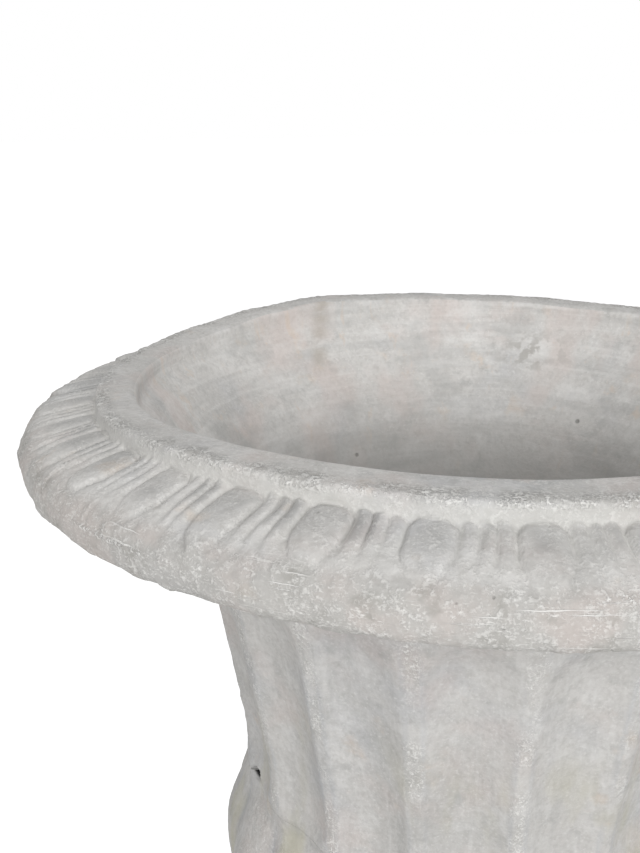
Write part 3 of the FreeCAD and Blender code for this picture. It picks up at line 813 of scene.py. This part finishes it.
def shape_bell(bm, paint):
    """Flutes with crumbly ridges outside, and the smooth inside that carries on from the rim."""
    for vert in bm.verts:
        spot = Spot(vert)
        place, height = spot.place, spot.height
        wall = NECK - (BELL_TOP - height) * (NECK - WAIST) / (BELL_TOP - BELL_FOOT)
        if spot.radius > wall - 1 and height <= BELL_TOP + 0.1:
            true_radius = bell_outline(height)
            bent = spot.angle + 0.008 * grit(place, 60, 2.0) * ease(height, BELL_FOOT + 3, BELL_FOOT + 37)
            depth, ridge = flute_depth(bent, height, true_radius)
            slit = open_slit(spot.degrees, height)
            inset = ease(height, BELL_FOOT, BELL_FOOT + 3) * (1 - ease(height, BELL_TOP - 3, BELL_TOP))
            rough = (0.12 + 0.4 * ridge) * inset
            lift = -depth + rough * (grit(place, 6, 1.0) + 0.5 * grit(place, 2.8, 3.0))
            lift += inset * (0.4 * grit(place, 30, 5.0) + 0.2 * grit(place, 12, 6.0))
            lift += waist_fillet(height) - SLIT_DEPTH * slit
            # Marks the open slit, which the finish paints with shadow
            vert[paint["gap"]] = slit
            vert[paint["crust"]] = ridge * 0.55 * ease(grit(place, 20, 9.0), -0.3, 0.4) + 0.06
            # Marks the flanks of the flutes beside the ridges for cool painted shade
            ridge_shade = bump_at(ridge, 0.45, 0.45)
            vert[paint["hollow"]] = 0.7 * ridge_shade * ease(grit(place, 25, 10.0), -0.5, 0.3)
            vert.co = spot.at_radius(true_radius + lift)
        elif spot.radius < wall - 11.5:
            behind = 0.25 * ease(height, BELL_TOP - 1, BELL_TOP + 9)
            vert.co = spot.at_radius(inside_radius(height) + behind)
            below_joint = 1 - ease(height, BELL_TOP + 1, BELL_TOP + 8)
            vert.co += spot.out * 0.4 * MM * grit(place, 22, 4.0) * below_joint
        vert.co += hand_shift(place)


def bell_spacing(radius, height):
    """Rows are close on the fluted face only."""
    fluted = BELL_FOOT + 0.1 < height < BELL_TOP - 0.1 and radius > WAIST - 11 + (height - BELL_FOOT) * 0.18
    return 1.45 if fluted else 5.0


def make_bell(outer_finish, inner_finish):
    """The bell, with the rib on its top edge that stands in the rim's rebate."""
    bm = bmesh.new()
    paint = paint_layers(bm, "hollow", "crust", "gap")
    section_wire(bm, [
        (WAIST, BELL_FOOT), (NECK, BELL_TOP), (RIB, BELL_TOP), (RIB, BELL_TOP + 9.3),
        (NECK - WALL, BELL_TOP - 4), (WAIST_INSIDE, BELL_FOOT),
    ], bell_spacing)
    turn_round(bm, columns=640)
    shape_bell(bm, paint)
    bmesh.ops.recalc_face_normals(bm, faces=bm.faces[:])
    give_inside(bm, lambda radius, height: radius < bell_outline(height) - 11 or height > BELL_TOP + 0.2)
    return finish_piece(bm, "fluted_bell", "bowl", ["bell"], [outer_finish, inner_finish])


# Gadrooned bowl

BULGE_HEIGHT = 212
BULGE_SWEEP = 96
BULGE_CENTRE = 43.5
LOBE_DEPTH = 7.0
SEAT_EDGE = 60
FLOOR_LEVEL = 150
DRAIN = 17


def bulge_rise(height):
    """The angle up the swelling's round section at a height."""
    return math.asin((height - BULGE_HEIGHT) / BULGE_SWEEP)


def bulge_radius(height):
    """Radius of the swelling before it is lobed."""
    return BULGE_CENTRE + BULGE_SWEEP * math.cos(bulge_rise(height))


def lobe_radius(angle, height):
    """Radius of the lobed outside, and how near the place is to a groove. Near the waist the lobes run into
    the outline of the bell's foot."""
    top = bulge_rise(BOWL_TOP)
    share = (bulge_rise(height) - top) / (bulge_rise(BOWL_SEAT) - top)
    crest = bulge_radius(height) - 2.4 * bump_at(height, 246, 22)
    groove = crest - LOBE_DEPTH * min(1, 0.4 + share) * crest / WAIST
    half = FLUTE_PITCH / 2
    centre = (crest ** 2 - groove ** 2) / (2 * (crest - groove * math.cos(half)))
    turn = flute_at(angle)[1]
    round_radius = crest - centre
    radius = centre * math.cos(turn) + math.sqrt(max(round_radius ** 2 - (centre * math.sin(turn)) ** 2, 0))
    joined = ease(height, BOWL_TOP - 23, BOWL_TOP)
    radius += (waist_radius(angle) - radius) * joined
    return radius, ease(abs(turn) / half, 0.8, 1.0) * (1 - joined)


def on_bowl_outside(radius, height):
    """True on the lobed outside, false on the seat, in the drain hole and inside."""
    return radius > WAIST_INSIDE + 1 or (height < FLOOR_LEVEL - 10 and radius > SEAT_EDGE)


def shape_bowl(bm, paint):
    """Lobes outside, with a broken edge at the open stretch of the waist, and a slightly uneven inside."""
    for vert in bm.verts:
        spot = Spot(vert)
        place, height = spot.place, spot.height
        if on_bowl_outside(spot.radius, height):
            lobed, groove = lobe_radius(spot.angle, height)
            slit = open_slit(spot.degrees, height)
            inset = ease(height, BOWL_SEAT + 1, BOWL_SEAT + 5) * (1 - ease(height, BOWL_TOP - 4, BOWL_TOP))
            lift = 0.3 * grit(place, 6, 1.0) + 0.2 * grit(place, 2.8, 2.0) + 0.6 * grit(place, 26, 3.0)
            # Marks the open slit, which the finish paints with shadow
            vert[paint["gap"]] = slit
            # Marks the grooves between the lobes for cool painted shade
            vert[paint["hollow"]] = groove
            vert[paint["crust"]] = 0.25 * ease(0.5 + grit(place, 40, 7.0), 0.3, 0.9)
            vert.co = spot.at_radius(lobed + inset * lift - SLIT_DEPTH * slit)
        elif height > FLOOR_LEVEL + 2:
            vert.co += spot.out * 0.3 * MM * grit(place, 24, 5.0)
        vert.co += hand_shift(place)


def make_bowl(outer_finish, inner_finish):
    """The lower bowl, with its rounded floor and drain hole."""
    bm = bmesh.new()
    paint = paint_layers(bm, "hollow", "crust", "gap")
    outside = []
    steps = 12
    for step in range(steps + 1):
        height = BOWL_SEAT + (BOWL_TOP - BOWL_SEAT) * (1 - math.cos(math.pi * step / steps)) / 2
        outside.append((bulge_radius(height), height))
    section_wire(bm, [
        (DRAIN, BOWL_SEAT), *outside,
        (WAIST_INSIDE, BOWL_TOP), (WAIST_INSIDE, FLOOR_LEVEL, 36), (DRAIN, FLOOR_LEVEL),
    ], lambda radius, height: 1.9 if on_bowl_outside(radius, height) else 7.0)
    turn_round(bm, columns=512)
    shape_bowl(bm, paint)
    bmesh.ops.recalc_face_normals(bm, faces=bm.faces[:])
    give_inside(bm, lambda radius, height: height > FLOOR_LEVEL - 3 and radius < WAIST_INSIDE + 2)
    return finish_piece(bm, "gadrooned_lower_bowl", "bowl", ["gadrooned_bowl"],
                        [outer_finish, inner_finish])


# Mortar beds

def make_bed(name, node, inner, outer, finish, outline=None, gap=None):
    """A thin bed pressed out to the castings' faces, which an outline may lead round the axis. A gap, its
    middle in degrees, its depth and half its width in degrees, leaves a stretch of the bed open and marks it
    for painted shadow."""
    bottom, top = levels(node)
    bm = bmesh.new()
    open_part_shadow = bm.verts.layers.float.new("gap")
    section_wire(bm, [(inner, bottom), (outer, bottom, 0.2), (outer, top, 0.2), (inner, top)],
                 lambda radius, height: 2.0)
    turn_round(bm, columns=360)
    for vert in bm.verts:
        spot = Spot(vert)
        edge = ease(spot.radius, outer - 2, outer)
        lift = edge * 0.1 * grit(spot.place, 6, 1.0)
        if outline:
            lift += edge * (outline(spot.angle) + 0.05 - outer)
        if gap:
            middle, depth, half = gap
            inward = edge * (1 - ease(abs(spot.degrees - middle), half * 0.55, half))
            lift -= inward * depth
            # Marks the open stretch, which the finish paints with shadow
            vert[open_part_shadow] = inward
        vert.co = spot.place + spot.out * lift * MM + hand_shift(spot.place)
    return finish_piece(bm, name, "bowl", [node], [finish])


# Socle

FOOT_EDGE = 96
STEM_FOOT = 87
STEM_FOOT_LEVEL = 69
STEM_NECK = 44
STEM_TOP_LEVEL = 98
COLLAR = 52.5
BEAD = 57.5


def make_socle(finish):
    """The stem: a rounded foot, a hollow sweep up to the collar, and a bead under the seat."""
    bm = bmesh.new()
    paint = paint_layers(bm, "hollow", "crust")
    stem = []
    steps = 10
    for step in range(steps + 1):
        share = step / steps
        radius = STEM_FOOT - (STEM_FOOT - STEM_NECK) * math.sin(share * math.pi / 2) ** 0.8
        stem.append((radius, STEM_FOOT_LEVEL + (STEM_TOP_LEVEL - STEM_FOOT_LEVEL) * share))
    section_wire(bm, [
        (CORE, SOCLE_FOOT), (STEM_FOOT, SOCLE_FOOT),
        (FOOT_EDGE, SOCLE_FOOT + 1, 6), (FOOT_EDGE, SOCLE_FOOT + 17, 6), (STEM_FOOT, SOCLE_FOOT + 18), *stem,
        (COLLAR, STEM_TOP_LEVEL, 0.8), (COLLAR, STEM_TOP_LEVEL + 5, 0.8),
        (BEAD, SOCLE_TOP - 11.5, 4.5), (BEAD, SOCLE_TOP - 0.5, 4.5),
        (COLLAR - 0.5, SOCLE_TOP), (CORE, SOCLE_TOP),
    ], lambda radius, height: 1.8 if radius > STEM_NECK - 4 else 8.0)
    turn_round(bm, columns=320)
    for vert, normal in with_normals(bm):
        spot = Spot(vert)
        place = spot.place
        if spot.radius > STEM_NECK - 4 and SOCLE_FOOT + 1 < spot.height < SOCLE_TOP - 2:
            lift = 0.3 * grit(place, 18, 1.0) + 0.25 * grit(place, 6, 2.0) + 0.15 * grit(place, 2.8, 3.0)
            vert.co = place + normal * lift * MM
        vert[paint["crust"]] = 0.3 * ease(0.5 + grit(place, 30, 4.0), 0.3, 0.9)
        # Marks the crease where the foot meets the stem for cool painted shade
        vert[paint["hollow"]] = bump_at(spot.height, STEM_FOOT_LEVEL - 4, 4)
    return finish_piece(bm, "turned_socle", "pedestal", ["socle"], [finish])


# Plinth

def divide_across(bm, lo, hi, spacing):
    """Cuts a box-like mesh across in all three directions, to the spacing."""
    for axis in range(3):
        steps = round((hi[axis] - lo[axis]) / (spacing * MM))
        for step in range(1, steps):
            cut = Vector((0, 0, 0))
            cut[axis] = lo[axis] + (hi[axis] - lo[axis]) * step / steps
            way = Vector((0, 0, 0))
            way[axis] = 1
            everything = bm.verts[:] + bm.edges[:] + bm.faces[:]
            bmesh.ops.bisect_plane(bm, geom=everything, plane_co=cut, plane_no=way, dist=WELD * MM)


def make_plinth(finish):
    """The square slab, with worn edges and slightly uneven faces. Its underside and the face under the foot
    stay flat."""
    lo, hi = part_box("plinth")
    bottom, top = levels("plinth")
    half_side = round(hi[0] / MM, 1)
    bm = bmesh.new()
    crust = bm.verts.layers.float.new("crust")
    bmesh.ops.create_cube(bm, size=1.0)
    for vert in bm.verts:
        vert.co = Vector((hi[axis] if vert.co[axis] > 0 else lo[axis] for axis in range(3)))
    bmesh.ops.bevel(bm, geom=bm.edges[:], offset=3.0 * MM, segments=3, profile=0.5, affect="EDGES",
                    material=-1)
    divide_across(bm, lo, hi, spacing=4.5)
    for vert, normal in with_normals(bm):
        spot = Spot(vert)
        place, height = spot.place, spot.height
        side = max(abs(place.x), abs(place.y)) / MM
        corner = min(abs(place.x), abs(place.y)) / MM
        upper_edge = ease(side, half_side - 5, half_side) * ease(height, top - 6, top)
        edge = max(upper_edge, ease(corner, half_side - 7, half_side))
        under_foot = height > top - 1 and spot.radius < FOOT_EDGE - 1
        if height > bottom + 2 and not under_foot:
            lift = 0.35 * grit(place, 24, 1.0) + (0.15 + 0.5 * edge) * grit(place, 6, 2.0) - 0.5 * edge
            vert.co = place + normal * lift * MM
        vert[crust] = max(0.7 * edge, 0.15)
    return finish_piece(bm, "square_plinth", "pedestal", ["plinth"], [finish])


# The planter

rim_finish = make_rim_finish()
bell_finish = make_bell_finish()
inside_finish = make_inside_finish()
mortar_finish = make_mortar_finish()

make_rim(rim_finish, inside_finish)
make_bell(bell_finish, inside_finish)
make_bowl(bell_finish, inside_finish)
make_bed("rim_mortar", "rim_bedding", REBATE + 0.2, NECK + 0.2, bell_finish)
make_bed("waist_mortar", "waist_bedding", WAIST_INSIDE + 0.2, WAIST, bell_finish, waist_radius,
         gap=(SLIT_DEGREES, 9, 3.0))
make_socle(bell_finish)
make_plinth(rim_finish)

CAD_FINISHES = {
    "foot_bedding": mortar_finish,
    "waist_dowels": make_steel_finish(),
    "seat_ring": make_rubber_finish(),
    "drain_sleeve": make_pipe_finish(),
}
CAD_FINISHES["foot_pads"] = CAD_FINISHES["seat_ring"]
for node, finish in CAD_FINISHES.items():
    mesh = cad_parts[node].data
    mesh.materials.clear()
    mesh.materials.append(finish)


# Studio

FLOOR_HALF = 40.0
FLOOR_PAINT = (0.3, 0.3, 0.3, 1)
FLOOR_GLOW = 0.92
FLOOR_BOUNCE = (0.8, 0.8, 0.8, 1)
WORLD_FILL = 0.42
AIM = (0, 0, 0.4)

# The photo's camera: its place in metres, and its turns in radians
CAMERA_PLACE = (-0.0507, -0.4846, 0.6052)
CAMERA_TURN = 0.0642
CAMERA_DIP = 0.302
CAMERA_ROLL = -0.0168
CAMERA_LENS = 41.24
CAMERA_SENSOR = 36


def seen_rays(nodes, links):
    """1 for the rays that show the background itself: seen, mirrored or seen through glass."""
    path = nodes.new("ShaderNodeLightPath")
    total = path.outputs["Is Camera Ray"]
    for name in ("Is Glossy Ray", "Is Transmission Ray"):
        either = nodes.new("ShaderNodeMath")
        either.operation = "MAXIMUM"
        links.new(total, either.inputs[0])
        links.new(path.outputs[name], either.inputs[1])
        total = either.outputs[0]
    return total


def make_floor_finish():
    """A floor that looks white to the camera and lights the planter like a plain pale floor."""
    material = bpy.data.materials.new("pale_floor")
    material.use_nodes = True
    nodes = material.node_tree.nodes
    links = material.node_tree.links
    nodes.clear()
    seen = nodes.new("ShaderNodeAddShader")
    paint = nodes.new("ShaderNodeBsdfDiffuse")
    paint.inputs["Color"].default_value = FLOOR_PAINT
    glow = nodes.new("ShaderNodeEmission")
    glow.inputs["Strength"].default_value = FLOOR_GLOW
    plain = nodes.new("ShaderNodeBsdfDiffuse")
    plain.inputs["Color"].default_value = FLOOR_BOUNCE
    links.new(paint.outputs[0], seen.inputs[0])
    links.new(glow.outputs[0], seen.inputs[1])
    mix = nodes.new("ShaderNodeMixShader")
    links.new(seen_rays(nodes, links), mix.inputs["Fac"])
    links.new(plain.outputs[0], mix.inputs[1])
    links.new(seen.outputs[0], mix.inputs[2])
    out = nodes.new("ShaderNodeOutputMaterial")
    links.new(mix.outputs[0], out.inputs["Surface"])
    return material


def make_floor():
    bm = bmesh.new()
    bmesh.ops.create_grid(bm, x_segments=2, y_segments=2, size=FLOOR_HALF)
    mesh = bpy.data.meshes.new("floor")
    bm.to_mesh(mesh)
    bm.free()
    mesh.materials.append(make_floor_finish())
    floor = bpy.data.objects.new("floor", mesh)
    bpy.context.scene.collection.objects.link(floor)


def make_world():
    """A white background that fills in the shadows with less light than it shows."""
    world = bpy.data.worlds.new("studio")
    bpy.context.scene.world = world
    world.use_nodes = True
    nodes = world.node_tree.nodes
    links = world.node_tree.links
    strength = nodes.new("ShaderNodeMapRange")
    links.new(seen_rays(nodes, links), strength.inputs["Value"])
    strength.inputs["To Min"].default_value = WORLD_FILL
    strength.inputs["To Max"].default_value = 1.0
    nodes["Background"].inputs["Color"].default_value = (1, 1, 1, 1)
    links.new(strength.outputs["Result"], nodes["Background"].inputs["Strength"])


def add_lamp(name, place, size, power):
    """A soft lamp aimed at the planter; place and size are in metres, power in watts."""
    lamp = bpy.data.lights.new(name, "AREA")
    lamp.shape = "RECTANGLE"
    lamp.size, lamp.size_y = size
    lamp.energy = power
    stand = bpy.data.objects.new(name, lamp)
    stand.location = place
    stand.rotation_euler = (Vector(AIM) - Vector(place)).to_track_quat("-Z", "Y").to_euler()
    stand.visible_camera = False
    bpy.context.scene.collection.objects.link(stand)


def add_camera():
    lens = bpy.data.cameras.new("camera")
    lens.lens = CAMERA_LENS
    lens.sensor_width = CAMERA_SENSOR
    lens.clip_start = 0.01
    camera = bpy.data.objects.new("camera", lens)
    camera.location = CAMERA_PLACE
    turn = Matrix.Rotation(CAMERA_TURN, 3, "Z") @ Matrix.Rotation(math.pi / 2 - CAMERA_DIP, 3, "X")
    camera.rotation_euler = (turn @ Matrix.Rotation(CAMERA_ROLL, 3, "Z")).to_euler()
    bpy.context.scene.collection.objects.link(camera)
    bpy.context.scene.camera = camera


make_floor()
make_world()
add_lamp("front_right", place=(0.65, -1.95, 1.25), size=(1.5, 1.2), power=29)
add_lamp("front_left", place=(-1.4, -1.4, 1.0), size=(1.2, 1.2), power=8)
add_lamp("rear", place=(-0.4, 2.2, 1.5), size=(1.5, 1.2), power=9)
add_camera()
bpy.context.scene.view_settings.view_transform = "Standard"
